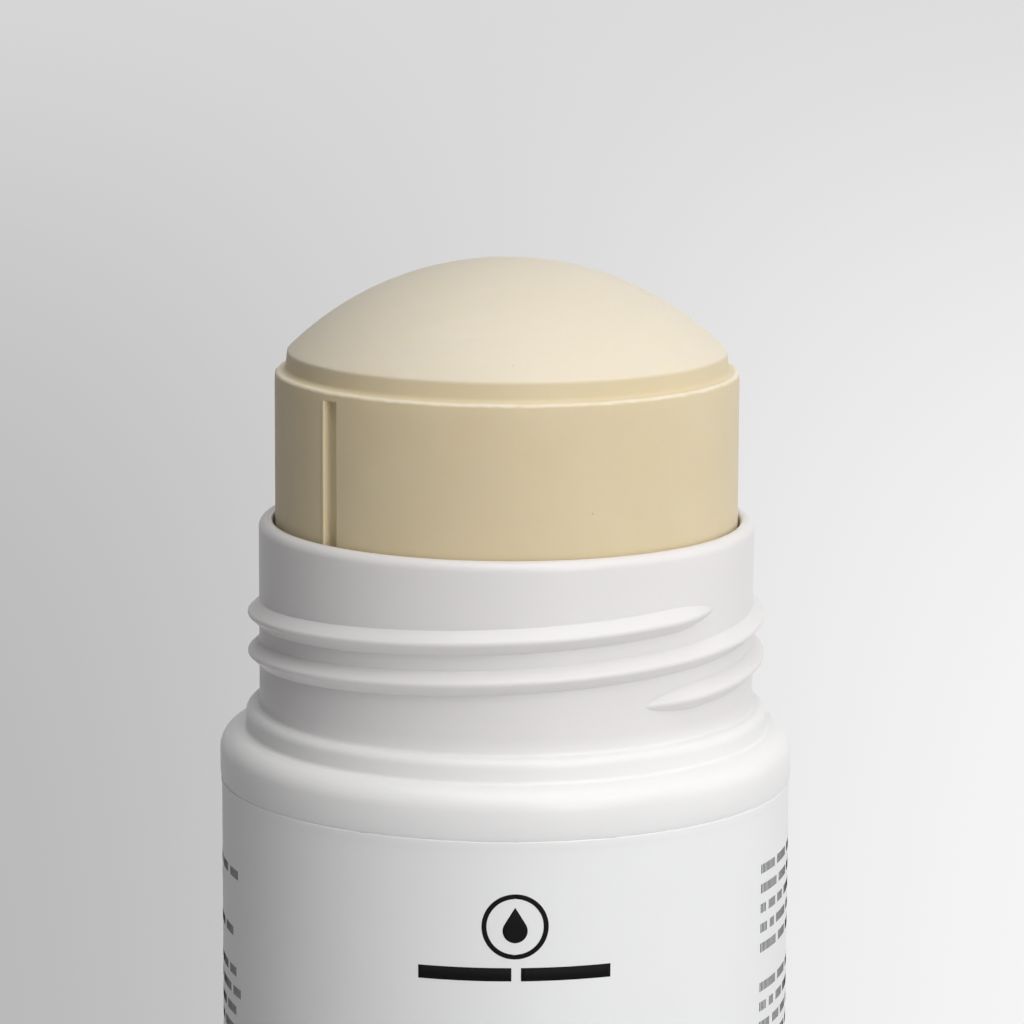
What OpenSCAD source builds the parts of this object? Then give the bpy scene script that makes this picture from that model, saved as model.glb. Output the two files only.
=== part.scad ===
// Twist-up deodorant stick in a round, double-walled barrel, shown without its cap.
// The stick stands on its hand wheel. +Z is up, -Y is the front, and the origin is at the
// centre of the underside. Turning the hand wheel turns the spindle, which lifts the carrier
// and the balm bar out of the barrel. The source shows the bar wound up by bar_lift.

/* [Barrel] */
// Outside diameter of the barrel above and below its label
barrel_d = 50.3; // [44:0.1:56]
// Height of the barrel's shoulder above the floor
shoulder_z = 70.3; // [66:0.05:90]
// Radius of the rounding between shoulder and side
shoulder_round = 2.1; // [1.2:0.1:2.4]
// Wall of the outer skirt behind the label
skirt_wall = 1.3; // [1.2:0.05:1.4]
// Wall of the inner tube, which is the wall of the neck too
tube_wall = 1.22; // [1.1:0.02:1.3]
// Distance of the neck inside the barrel's side
neck_inset = 3.48; // [3.4:0.02:4.4]
// Thickness of the shoulder between tube and skirt
shoulder_t = 1.5; // [1.2:0.1:1.8]
// Radius of the fillets where collar meets shoulder and neck meets collar
root_fillet = 0.15; // [0.05:0.05:0.15]
// Radius of the rounding at the skirt's lower edge
skirt_round = 0.4; // [0.2:0.05:0.5]
// Number of centring webs between tube and skirt
skirt_webs = 4; // [3:1:6]
// Thickness of a centring web
skirt_web_t = 1; // [0.8:0.1:1.2]
// Height of a centring web
skirt_web_h = 6; // [3:0.5:10]

/* [Neck] */
// Height of the rim above the shoulder
neck_h = 18.6; // [18:0.05:22]
// Radius of the rounding on the rim's outer edge
rim_round = 0.8; // [0.5:0.05:0.85]
// Radius of the rounding on the rim's inner edge
rim_inner_round = 0.3; // [0.2:0.05:0.35]
// Height of the collar under the thread
collar_h = 2.1; // [1.8:0.05:2.4]
// How far the collar stands out from the neck
collar_proud = 1.2; // [1.16:0.02:1.3]
// Radius of the rounding on the collar's upper edge
collar_round = 1.05; // [0.6:0.05:1.1]

/* [Cap thread] */
// Number of thread starts on the neck
cap_starts = 2; // [1:1:2]
// Rise of one thread in a full turn
cap_lead = 6.9; // [6.7:0.1:7.4]
// Angle that each thread covers
cap_sweep = 380; // [200:5:420]
// Direction of the first thread's lower end, from the front towards +X
cap_start_angle = 31.6; // [0:0.1:90]
// Height of a thread's lower end above the shoulder
cap_start_h = 5.8; // [5:0.05:7]
// How far the thread stands out from the neck
cap_ridge_h = 1.0; // [0.7:0.05:1.1]
// Width of the thread at its foot
cap_ridge_w = 2.15; // [1.9:0.05:2.5]
// Radius of the thread's rounded crest
cap_crest_r = 0.35; // [0.2:0.05:0.5]
// Angle over which each thread runs out at its ends
cap_runout = 16; // [8:1:24]

/* [Guide ribs] */
// Number of guide ribs in the bore
rib_count = 2; // [1:1:3]
// Width of a guide rib
rib_w = 1.3; // [1:0.05:1.6]
// How far a guide rib stands into the bore
rib_h = 0.75; // [0.5:0.05:0.9]
// Direction of the first rib, from the front towards +X
rib_angle = -47.4; // [-80:0.2:80]
// Distance of the ribs' top below the rim
rib_top_gap = 4.05; // [4:0.05:6]

/* [Label] */
// Thickness of the label film
label_t = 0.1; // [0.06:0.01:0.11]
// Depth of the panel that holds the label
panel_depth = 0.25; // [0.2:0.01:0.4]
// Distance of the label's top edge below the shoulder
label_top_gap = 4.3; // [3.5:0.05:8]
// Distance of the label's bottom edge above the skirt's lower edge
label_low_gap = 4.1; // [1.5:0.1:8]
// Margin between the label and each end of its panel
panel_margin = 0.3; // [0.2:0.05:0.8]
// Width of the glued overlap at the back
label_lap = 7; // [3:0.5:12]

/* [Hand wheel] */
// Height of the hand wheel's grip
wheel_h = 12; // [10:0.5:13]
// How far the grip lies inside the barrel's outline
wheel_inset = 0.35; // [0.2:0.05:0.8]
// Wall of the grip between the ribs
wheel_wall = 1.6; // [1.4:0.05:2]
// Thickness of the floor
wheel_floor = 1.6; // [1.2:0.1:2.4]
// Number of grip ribs
grip_count = 60; // [36:2:80]
// Radius of a grip rib
grip_r = 0.55; // [0.4:0.05:0.7]
// Gap between grip and barrel
wheel_gap = 0.4; // [0.3:0.05:0.6]
// Width of the ledge that joins grip wall and ring
wheel_ledge = 1.5; // [1.2:0.1:2]
// Radius of the rounding at the grip's lower edge
wheel_round = 0.6; // [0.4:0.05:0.8]
// How far the grip ribs stop short of the grip's ends
grip_margin = 1; // [0.8:0.1:1.6]
// Height of the ring that runs inside the skirt
wheel_ring_h = 2.4; // [1.5:0.1:2.8]
// Wall of that ring
wheel_ring_wall = 1.1; // [0.9:0.05:1.2]
// Depth of the recess under the floor
foot_recess = 0.6; // [0.4:0.1:0.8]
// Width of the foot ring that meets the floor
foot_w = 4; // [3:0.5:6]
// Wall of the hub around the spindle's square foot
hub_wall = 2.6; // [2.4:0.1:3]
// Number of webs between hub and grip wall
hub_webs = 4; // [3:1:6]
// Thickness of such a web
hub_web_t = 1.2; // [1:0.1:1.4]
// Height of such a web above the floor
hub_web_h = 4; // [2:0.5:5]

/* [Base plate] */
// How far the plate lies inside the skirt
plate_inset = 1; // [0.8:0.1:1.4]
// Thickness of the plate
plate_t = 1.6; // [1.4:0.1:2]
// Height of the plate's rim inside the bore
plate_rim_h = 3.6; // [3:0.1:4]
// Wall of the plate's rim
plate_rim_wall = 1.1; // [1:0.1:1.4]
// Radius of the snap bead around the rim
bead_r = 0.3; // [0.2:0.05:0.35]
// Distance of the bead below the rim's upper edge
bead_drop = 1.2; // [0.8:0.1:1.6]

/* [Spindle] */
// Outside radius of the spindle's thread
screw_r = 4.6; // [4.3:0.1:5]
// Radius of the spindle's core
core_r = 3.3; // [3.1:0.1:3.5]
// Rise of the spindle's thread in a turn
screw_lead = 4.5; // [4.2:0.1:5]
// Width of the thread's crest
screw_crest = 1.1; // [0.9:0.05:1.3]
// Width of the thread's foot
screw_foot = 2.5; // [2.2:0.05:2.7]
// Distance of the spindle's tip below the rim
tip_gap = 5; // [5:0.5:10]
// Length of the plain tip above the thread
tip_l = 1; // [0.6:0.1:2]
// Radius of the thrust flange
flange_r = 7; // [6.6:0.1:8]
// Thickness of the thrust flange
flange_t = 1.5; // [1.2:0.1:1.8]
// Radius of the journal in the base plate
journal_r = 3.9; // [3.6:0.1:4.2]
// Width across the flats of the drive foot
drive_w = 5; // [4.4:0.1:5.2]
// Height of the drive foot's end above the hand wheel's floor
drive_gap = 4.3; // [3.4:0.1:5]
// How far the catches on the drive foot stand out
catch_out = 0.35; // [0.25:0.05:0.45]
// Height of a catch
catch_h = 1.4; // [1:0.1:1.6]
// Width of a catch
catch_w = 3; // [2:0.1:3.4]

/* [Carrier] */
// Thickness of the carrier's floor
carrier_floor = 1.4; // [1.2:0.1:2]
// Height of the cup wall above the floor
cup_h = 6; // [5:0.5:8]
// Wall of the cup
cup_wall = 1.1; // [1:0.1:1.3]
// Height of the wiper skirt below the floor
wiper_h = 0.9; // [0.5:0.1:1.2]
// Wall of the wiper skirt
wiper_wall = 0.8; // [0.7:0.05:1]
// Outside radius of the nut
nut_r = 6.8; // [6.6:0.1:7.4]
// Length of the nut below the carrier's floor
nut_below = 3.6; // [3.4:0.1:4]
// Length of the nut above the carrier's floor
nut_above = 4.5; // [4:0.5:6]
// Gap between nut and thrust flange at the carrier's lowest place
nut_rest_gap = 0.6; // [0.4:0.1:1]
// Number of anchor webs between nut and cup
web_count = 6; // [4:1:8]
// Thickness of an anchor web
web_t = 1; // [0.8:0.1:1.4]
// Height of an anchor web above the floor
web_h = 3.5; // [3:0.5:4]

/* [Bar] */
// Height of the bar's shoulder above the rim, as wound up here
bar_out = 13.05; // [5:0.05:30]
// How far the bar is wound up from its lowest place
bar_lift = 16.1; // [12:0.1:24]
// Width of the ledge around the foot of the raised disc that carries the dome
ledge_w = 0.92; // [0.8:0.02:1.6]
// Radius of the fillet between the ledge and the disc's side
ledge_fillet = 0.4; // [0.2:0.05:0.5]
// Height of the raised disc above the shoulder
disc_h = 1.7; // [1.2:0.1:2.2]
// How much narrower the disc's radius is at the dome than at its foot
disc_draft = 0.18; // [0.06:0.02:0.3]
// Radius of the dome's curvature
dome_r = 27.1; // [25:0.1:40]
// Radius of the rounding where dome and disc meet
lip_round = 0.4; // [0.2:0.05:0.5]
// Radius of the bar's worn shoulder edge
bar_round = 0.35; // [0.2:0.05:0.4]

/* [Clearances] */
// Running gap between sliding and turning pieces, on the radius
run_gap = 0.25; // [0.2:0.01:0.3]
// Gap between pieces that are pressed or moulded together
fit_gap = 0.05; // [0.03:0.01:0.08]
// Running gap along the axis
end_gap = 0.15; // [0.12:0.01:0.2]
// Gap between the bar and the bore it slides in
bar_gap = 0.23; // [0.2:0.01:0.3]
// Gap around the journal in its bearing, on the radius
journal_gap = 0.1; // [0.05:0.01:0.1]
// Gap between the flanks and crests of spindle and nut
thread_gap = 0.2; // [0.15:0.01:0.25]
// Gap between the guide ribs and the grooves that they leave in the bar
groove_gap = 0.15; // [0.1:0.01:0.2]

/* [Hidden] */
$fn = 96;
// Overlap that joins neighbouring shapes of one piece
eps = 0.01;
// Depth by which webs and ridges are sunk into the wall that carries them
sink = 0.3;
// How far a cutting shape reaches past what it cuts
over = 1;
// Angle between neighbouring rings of a swept ridge
turn_step = 15;
// Share of its height and of its width that a ridge keeps where it runs out
end_height = 0.1;
end_width = 0.3;
// Directions are counted from the front, which is -Y, towards +X.
front = -90;

// Barrel
barrel_r = barrel_d / 2;
panel_r = barrel_r - panel_depth;
skirt_r = panel_r - skirt_wall;
neck_r = barrel_r - neck_inset;
bore_r = neck_r - tube_wall;
collar_r = neck_r + collar_proud;
collar_z = shoulder_z + collar_h;
rim_z = shoulder_z + neck_h;
skirt_z = wheel_h + wheel_gap;
label_top = shoulder_z - label_top_gap;
label_bottom = skirt_z + label_low_gap;
label_r = panel_r + fit_gap / 2;

// Base plate, whose flange closes the tube's lower end
plate_z = skirt_z + plate_inset;
tube_z = plate_z + plate_t;
plate_top = tube_z + plate_rim_h;
plate_r = bore_r - fit_gap;
bead_z = plate_top - bead_drop;

// Guide ribs
rib_top = rim_z - rib_top_gap;
rib_bottom = plate_top + sink;

// Hand wheel
grip_wall_r = barrel_r - wheel_inset - grip_r;
ring_r = skirt_r - run_gap - fit_gap;
ring_inner_r = ring_r - wheel_ring_wall;
hub_r = drive_w / 2 + hub_wall;
hub_top = plate_z - end_gap;
drive_z = wheel_floor + drive_gap;
catch_z = drive_z + catch_h;

// Spindle
flange_z = tube_z + end_gap;
screw_z = flange_z + flange_t;
tip_z = rim_z - tip_gap;
screw_top = tip_z - tip_l - screw_foot / 2;
screw_low = screw_z + screw_foot / 2;

// Carrier, which stands bar_lift above its lowest place
nut_z = screw_z + nut_rest_gap + bar_lift;
carrier_z = nut_z + nut_below;
seat_z = carrier_z + carrier_floor;
cup_top = seat_z + cup_h;
nut_top = seat_z + nut_above;
carrier_r = bore_r - run_gap;
cup_r = carrier_r - cup_wall;
nut_bore_r = screw_r + thread_gap;

// Bar
bar_r = bore_r - bar_gap;
bar_z = rim_z + bar_out;
disc_foot_r = bar_r - ledge_w;
disc_r = disc_foot_r - disc_draft;
disc_z = bar_z + disc_h;
dome_z = disc_z - sqrt(dome_r * dome_r - disc_r * disc_r);
lip_r = disc_r - lip_round;
lip_z = dome_z + sqrt(pow(dome_r - lip_round, 2) - lip_r * lip_r);
bar_foot_r = cup_r - fit_gap;
bar_bore_r = screw_r + run_gap;
bar_bore_top = tip_z + bar_lift + end_gap;
groove_top = rib_top + bar_lift + end_gap;

// Takes the sharp tip off an outer corner at [x, y]. The material lies towards
// -x where sx is 1 and towards -y where sy is 1.
module corner_cut(x, y, r, sx = 1, sy = 1)
{
    translate([x, y])
        difference() {
            translate([sx > 0 ? -r : -eps, sy > 0 ? -r : -eps])
                square([r + eps, r + eps]);
            translate([-sx * r, -sy * r])
                circle(r = r);
        }
}

// Fills the inner corner at [x, y] with a concave fillet that opens towards +x and +y,
// or towards -x and -y where s is -1.
module corner_fill(x, y, r, s = 1)
{
    translate([x, y])
        rotate(s > 0 ? 0 : 180)
            difference() {
                translate([-eps, -eps])
                    square([r + eps, r + eps]);
                translate([r, r])
                    circle(r = r);
            }
}

// Places children at count equal steps, the first in the given direction from the front.
module around(count, angle = 0)
{
    for (i = [0 : count - 1])
        rotate([0, 0, front + angle + i * 360 / count])
            children();
}

// Rotation that puts the first of count webs between the front and +X.
function between(count) = 180 / count;

// One ring of a swept ridge. Profile points are [out, up]. Where grow falls from 1 to 0 the
// crest sinks just under the carrying surface and the ridge gets narrower.
function ridge_ring(profile, r, angle, z, grow) =
    [for (p = profile)
        let (out = p[0] > 0 ? p[0] * grow - sink * (1 - grow) / 2 : p[0])
        let (up = p[1] * (end_width + (1 - end_width) * grow))
        [(r + out) * cos(angle), (r + out) * sin(angle), z + up]];

// Ridge that winds around the z axis from [r, 0, 0] on. A negative lead makes it left-handed.
// The profile is a closed list of points, against the clock with the axis on its left.
module helix_ridge(profile, r, lead, sweep, step, runout = 0)
{
    steps = ceil(sweep / step);
    count = len(profile);
    function grow(a) =
        runout == 0 ? 1 : max(end_height, sin(90 * min(1, a / runout, (sweep - a) / runout)));
    points = [for (i = [0 : steps])
        let (a = sweep * i / steps)
        each ridge_ring(profile, r, a, lead * a / 360, grow(a))];
    sides = [for (i = [0 : steps - 1], j = [0 : count - 1])
        let (k = (j + 1) % count, low = i * count, high = low + count)
        each [[low + j, low + k, high + k], [low + j, high + k, high + j]]];
    first = [for (j = [count - 1 : -1 : 0]) j];
    last = [for (j = [0 : count - 1]) steps * count + j];
    polyhedron(points = points, faces = concat(sides, [first], [last]), convexity = 8);
}

// Section of the barrel, to the right of the axis
module barrel_section()
{
    difference() {
        union() {
            // inner tube and neck
            translate([bore_r, tube_z])
                square([tube_wall, rim_z - tube_z]);
            // collar under the thread
            translate([bore_r + eps, shoulder_z - shoulder_t])
                square([collar_r - bore_r - eps, shoulder_t + collar_h]);
            // shoulder
            translate([bore_r + eps, shoulder_z - shoulder_t])
                square([barrel_r - bore_r - eps, shoulder_t]);
            // outer skirt
            translate([skirt_r, skirt_z])
                square([barrel_r - skirt_r, shoulder_z - skirt_z]);
            corner_fill(skirt_r, shoulder_z - shoulder_t, shoulder_t, s = -1);
            corner_fill(collar_r, shoulder_z, root_fillet);
            corner_fill(neck_r, collar_z, root_fillet);
        }
        corner_cut(neck_r, rim_z, rim_round);
        corner_cut(bore_r, rim_z, rim_inner_round, sx = -1);
        corner_cut(collar_r, collar_z, collar_round);
        corner_cut(barrel_r, shoulder_z, shoulder_round);
        corner_cut(barrel_r, skirt_z, skirt_round, sy = -1);
        // shallow panel for the label
        translate([panel_r, label_bottom - panel_margin])
            square([panel_depth + over, label_top - label_bottom + 2 * panel_margin]);
        // groove for the base plate's snap bead
        translate([plate_r, bead_z])
            circle(r = bead_r + fit_gap);
    }
}

// Profile of the cap thread: straight flanks that touch a round crest
function cap_profile() =
    let (half = cap_ridge_w / 2, core = cap_ridge_h - cap_crest_r)
    let (lean = atan2(half, -core) - acos(cap_crest_r / norm([core, half])))
    concat(
        [[-sink, half + sink], [-sink, -half - sink]],
        [for (i = [-3 : 3])
            let (t = lean * i / 3)
            [core + cap_crest_r * cos(t), cap_crest_r * sin(t)]]);

module barrel()
{
    color([0.93, 0.93, 0.92])
        union() {
            rotate_extrude()
                barrel_section();
            // threads that hold the cap
            around(cap_starts, cap_start_angle)
                translate([0, 0, shoulder_z + cap_start_h])
                    helix_ridge(cap_profile(), neck_r, cap_lead, cap_sweep, turn_step / 2, cap_runout);
            // ribs that keep the carrier and the bar from turning
            around(rib_count, rib_angle)
                translate([bore_r - rib_h, -rib_w / 2, rib_bottom])
                    cube([rib_h + tube_wall / 2, rib_w, rib_top - rib_bottom]);
            // centring webs between tube and skirt, at the tube's lower end
            around(skirt_webs, between(skirt_webs))
                translate([neck_r - tube_wall / 2, -skirt_web_t / 2, tube_z + wheel_ring_h])
                    cube([skirt_r - neck_r + tube_wall / 2 + skirt_wall / 2, skirt_web_t, skirt_web_h]);
        }
}

module label()
{
    lap_w = label_lap / 2;
    color([0.96, 0.96, 0.96])
        translate([0, 0, label_bottom])
            linear_extrude(height = label_top - label_bottom)
                difference() {
                    union() {
                        circle(r = label_r + label_t);
                        // lapped end, glued down at the back
                        intersection() {
                            circle(r = label_r + 2 * label_t);
                            translate([-lap_w, 0])
                                square([label_lap, barrel_r]);
                        }
                    }
                    circle(r = label_r);
                }
}

// Plug that closes the filled lower end and carries the spindle
module base_plate()
{
    color([0.9, 0.9, 0.89])
        rotate_extrude()
            difference() {
                union() {
                    translate([0, plate_z])
                        square([neck_r - fit_gap, plate_t - fit_gap]);
                    translate([0, plate_z])
                        square([plate_r, plate_top - plate_z]);
                    // snap bead
                    translate([plate_r - fit_gap, bead_z])
                        circle(r = bead_r);
                }
                // bearing for the journal
                translate([-eps, plate_z - over])
                    square([journal_r + journal_gap + eps, plate_t + 2 * over]);
                // space inside the rim
                translate([-eps, tube_z])
                    square([plate_r - plate_rim_wall + eps, plate_rim_h + over]);
                corner_cut(plate_r, plate_top, bead_r);
            }
}

module hand_wheel()
{
    socket = drive_w + 2 * fit_gap;
    color([0.93, 0.93, 0.92])
        difference() {
            union() {
                rotate_extrude()
                    difference() {
                        union() {
                            // floor, grip wall and hub
                            square([grip_wall_r, wheel_floor]);
                            translate([grip_wall_r - wheel_wall, 0])
                                square([wheel_wall, wheel_h]);
                            square([hub_r, hub_top]);
                            // ring that centres the wheel in the skirt, on its ledge
                            translate([ring_inner_r, wheel_h - wheel_ledge])
                                square([wheel_ring_wall, wheel_ring_h + wheel_ledge]);
                            translate([ring_inner_r, wheel_h - wheel_ledge])
                                square([grip_wall_r - ring_inner_r, wheel_ledge]);
                        }
                        corner_cut(grip_wall_r, 0, wheel_round, sy = -1);
                        corner_cut(ring_r, wheel_h + wheel_ring_h, skirt_round);
                    }
                // grip ribs
                translate([0, 0, grip_margin])
                    linear_extrude(height = wheel_h - 2 * grip_margin)
                        for (i = [0 : grip_count - 1])
                            rotate(i * 360 / grip_count)
                                translate([grip_wall_r, 0])
                                    circle(r = grip_r, $fn = 24);
                // webs between hub and grip wall
                around(hub_webs, between(hub_webs))
                    translate([hub_r - sink, -hub_web_t / 2, wheel_floor - sink])
                        cube([grip_wall_r - wheel_wall - hub_r + 2 * sink, hub_web_t, hub_web_h + sink]);
            }
            // recess under the floor, inside the foot ring
            translate([0, 0, -over])
                cylinder(r = grip_wall_r - foot_w, h = over + foot_recess);
            // socket for the spindle's foot, with windows for its catches
            translate([-socket / 2, -socket / 2, drive_z - end_gap])
                cube([socket, socket, hub_top - drive_z + over]);
            for (side = [0, 180])
                rotate([0, 0, side])
                    translate([0, -catch_w / 2 - fit_gap, catch_z - catch_h / 2 - fit_gap])
                        cube([hub_r + over, catch_w + 2 * fit_gap, catch_h + 2 * fit_gap]);
        }
}

// Half the thickness of the spindle's thread at a radius
function screw_half(r) =
    (screw_foot + (screw_crest - screw_foot) * (r - core_r) / (screw_r - core_r)) / 2;

// Half the thickness of the nut's thread, which fills the spaces of the spindle's
function nut_half(r) = screw_lead / 2 - screw_half(r) - thread_gap;

// Closed profile of a straight-sided thread from one radius to another
function flank_profile(r1, half1, r2, half2) =
    [[r1, half1], [r1, -half1], [r2, -half2], [r2, half2]];

module spindle()
{
    root_r = core_r - sink;
    color([0.91, 0.91, 0.9])
        union() {
            // square foot with two catches
            translate([-drive_w / 2, -drive_w / 2, drive_z])
                cube([drive_w, drive_w, plate_z - drive_z + sink]);
            for (side = [0, 180])
                rotate([0, 0, side])
                    translate([drive_w / 2, catch_w / 2, catch_z])
                        rotate([90, 0, 0])
                            linear_extrude(height = catch_w)
                                polygon([[-sink, -catch_h / 2], [0, -catch_h / 2],
                                    [catch_out, catch_h / 4], [catch_out, catch_h / 2],
                                    [-sink, catch_h / 2]]);
            // journal, thrust flange and core
            rotate_extrude()
                difference() {
                    union() {
                        translate([0, plate_z])
                            square([journal_r, flange_z - plate_z + sink]);
                        translate([0, flange_z])
                            square([flange_r, flange_t]);
                        translate([0, screw_z - sink])
                            square([core_r, tip_z - screw_z + sink]);
                    }
                    corner_cut(flange_r, screw_z, skirt_round);
                    corner_cut(core_r, tip_z, rim_round);
                }
            // left-hand thread, from its top down
            rotate([0, 0, front])
                translate([0, 0, screw_top])
                    helix_ridge(flank_profile(root_r, screw_half(root_r), screw_r, screw_crest / 2),
                        0, -screw_lead, 360 * (screw_top - screw_low) / screw_lead, turn_step);
        }
}

// Cup with a nut in its middle, two notches for the guide ribs and anchor webs for the balm
module carrier()
{
    crest_r = core_r + thread_gap;
    root_r = nut_bore_r + sink;
    // The nut's thread lies half a lead from the spindle's.
    margin = nut_half(root_r) + fit_gap;
    first_z = nut_top - margin;
    first_angle = 360 * (screw_top + screw_lead / 2 - first_z) / screw_lead;
    sweep = 360 * (nut_top - nut_z - 2 * margin) / screw_lead;
    color([0.92, 0.92, 0.91])
        union() {
            difference() {
                union() {
                    rotate_extrude()
                        union() {
                            translate([0, carrier_z])
                                square([carrier_r, carrier_floor]);
                            translate([cup_r, carrier_z])
                                square([cup_wall, carrier_floor + cup_h]);
                            translate([carrier_r - wiper_wall, carrier_z - wiper_h])
                                square([wiper_wall, wiper_h + sink]);
                            translate([0, nut_z])
                                square([nut_r, nut_top - nut_z]);
                        }
                    around(web_count, between(web_count))
                        translate([nut_r - sink, -web_t / 2, seat_z - sink])
                            cube([cup_r - nut_r + 2 * sink, web_t, web_h + sink]);
                }
                // bore of the nut
                translate([0, 0, nut_z - over])
                    cylinder(r = nut_bore_r, h = nut_top - nut_z + 2 * over);
                // notches that ride on the guide ribs
                around(rib_count, rib_angle)
                    translate([bore_r - rib_h - run_gap, -rib_w / 2 - run_gap, nut_z])
                        cube([rib_h + run_gap + over, rib_w + 2 * run_gap, cup_top - nut_z + over]);
            }
            rotate([0, 0, front + first_angle])
                translate([0, 0, first_z])
                    helix_ridge(flank_profile(crest_r, nut_half(crest_r), root_r, nut_half(root_r)),
                        0, -screw_lead, sweep, turn_step);
        }
}

// Balm bar, cast against a domed seal, with its lower end in the carrier's cup
module balm_bar()
{
    color([0.86, 0.8, 0.69])
        difference() {
            rotate_extrude()
                difference() {
                    union() {
                        translate([0, seat_z + fit_gap])
                            square([bar_foot_r, cup_h + over]);
                        translate([0, cup_top + fit_gap])
                            square([bar_r, bar_z - cup_top - fit_gap]);
                        // disc with its draft
                        polygon([[0, bar_z - over], [disc_foot_r, bar_z - over],
                            [disc_foot_r, bar_z + ledge_fillet], [disc_r, lip_z], [0, lip_z]]);
                        corner_fill(disc_foot_r, bar_z, ledge_fillet);
                        // dome, and the lip that touches it from inside
                        intersection() {
                            translate([0, lip_z - eps])
                                square([lip_r * dome_r / (dome_r - lip_round), dome_r]);
                            translate([0, dome_z])
                                circle(r = dome_r);
                        }
                        translate([lip_r, lip_z])
                            circle(r = lip_round);
                    }
                    corner_cut(bar_r, bar_z, bar_round);
                }
            // hole that the spindle leaves
            cylinder(r = bar_bore_r, h = bar_bore_top);
            // room for the nut and the anchor webs
            cylinder(r = nut_r + fit_gap, h = nut_top + fit_gap);
            around(web_count, between(web_count))
                translate([nut_r, -web_t / 2 - fit_gap, seat_z - over])
                    cube([cup_r - nut_r, web_t + 2 * fit_gap, web_h + over + fit_gap]);
            // grooves left by the guide ribs
            around(rib_count, rib_angle)
                translate([bore_r - rib_h - groove_gap, -rib_w / 2 - groove_gap, seat_z - over])
                    cube([rib_h + over, rib_w + 2 * groove_gap, groove_top - seat_z + over]);
        }
}

barrel();
label();
base_plate();
hand_wheel();
spindle();
carrier();
balm_bar();
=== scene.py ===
# Round twist-up deodorant stick with its cap off, dressed over its CAD frame.
# The sections follow the stick as it is put together: barrel, inner mouldings, balm bar,
# hand wheel and label, and then the studio that it stands in.
# Lengths are in metres and directions in degrees, counted from the front towards +X.

import math
import random

import bmesh
import bpy
from mathutils import Matrix, Vector, noise


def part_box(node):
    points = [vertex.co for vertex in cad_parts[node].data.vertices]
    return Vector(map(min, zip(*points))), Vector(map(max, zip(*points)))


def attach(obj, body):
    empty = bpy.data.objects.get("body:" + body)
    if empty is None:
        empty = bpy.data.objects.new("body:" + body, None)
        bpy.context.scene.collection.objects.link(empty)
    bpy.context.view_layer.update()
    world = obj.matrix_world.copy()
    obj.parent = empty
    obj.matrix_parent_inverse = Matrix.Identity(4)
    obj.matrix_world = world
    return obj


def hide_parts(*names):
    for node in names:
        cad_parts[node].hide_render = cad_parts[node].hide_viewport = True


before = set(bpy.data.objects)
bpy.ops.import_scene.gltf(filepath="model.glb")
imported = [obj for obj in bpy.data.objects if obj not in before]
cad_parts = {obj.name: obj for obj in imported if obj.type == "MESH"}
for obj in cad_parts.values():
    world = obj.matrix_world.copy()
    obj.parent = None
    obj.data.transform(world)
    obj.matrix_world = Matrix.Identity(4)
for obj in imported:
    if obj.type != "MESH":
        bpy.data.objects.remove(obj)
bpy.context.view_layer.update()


# Barrel
# One injection moulding in white polypropylene. Its inner tube goes up into the neck, and
# the shoulder joins it to the outer skirt. The mould's fine finish gives it an even, soft
# gloss, and a little light gets into its skin, which softens the shadows under the thread.

MM = 0.001
barrel_low, barrel_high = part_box("barrel")
barrel_r = barrel_high.x
rim_z = barrel_high.z
skirt_z = barrel_low.z
neck_r = barrel_r - 3.48 * MM
bore_r = neck_r - 1.22 * MM
collar_r = neck_r + 1.2 * MM
panel_r = barrel_r - 0.25 * MM
skirt_inner_r = panel_r - 1.3 * MM
shoulder_z = rim_z - 18.6 * MM
collar_z = shoulder_z + 2.1 * MM
shoulder_t = 1.5 * MM
label_low, label_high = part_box("label")
panel_low = label_low.z - 0.03 * MM
panel_high = label_high.z
tube_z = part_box("base_plate")[0].z + 1.6 * MM


def rounded(corners, steps=8, hold=0.1 * MM):
    """Section with its corners rounded. Each corner is (radius, height, rounding). A point
    beside each rounding holds the flat next to it flat."""
    section = []
    for i, (radius, height, rounding) in enumerate(corners):
        here = Vector((radius, height))
        if not rounding:
            section.append(here)
            continue
        last = Vector(corners[i - 1][:2]) - here
        after = Vector(corners[(i + 1) % len(corners)][:2]) - here
        half = last.angle(after) / 2
        reach = rounding / math.tan(half)
        inwards = (last.normalized() + after.normalized()).normalized()
        centre = here + inwards * rounding / math.sin(half)
        start = here + last.normalized() * reach - centre
        end = here + after.normalized() * reach - centre
        turn = math.atan2(start.x * end.y - start.y * end.x, start.dot(end))
        if last.length > 2 * reach + 3 * hold:
            section.append(here + last.normalized() * (reach + hold))
        for step in range(steps + 1):
            section.append(centre + Matrix.Rotation(turn * step / steps, 2) @ start)
        if after.length > 2 * reach + 3 * hold:
            section.append(here + after.normalized() * (reach + hold))
    return section


def turned(name, section, directions, closed=True, surface=None):
    """Solid turned round the axis from a section of (radius, height) points. A closed
    section is a ring's; any other one starts and ends on the axis. surface gives a point's
    real radius and height from its direction, radius and height."""
    shell = bmesh.new()
    rows = []
    for radius, height in section:
        if radius == 0:
            rows.append([shell.verts.new((0, 0, height))] * len(directions))
            continue
        row = []
        for direction in directions:
            r, z = surface(direction, radius, height) if surface else (radius, height)
            turn = math.radians(direction)
            row.append(shell.verts.new((r * math.sin(turn), -r * math.cos(turn), z)))
        rows.append(row)
    if closed:
        rows.append(rows[0])
    for low, high in zip(rows, rows[1:]):
        for i in range(len(directions)):
            j = (i + 1) % len(directions)
            corners = list(dict.fromkeys((low[i], low[j], high[j], high[i])))
            if len(corners) > 2:
                shell.faces.new(corners)
    bmesh.ops.recalc_face_normals(shell, faces=shell.faces)
    return solid(name, shell)


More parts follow.
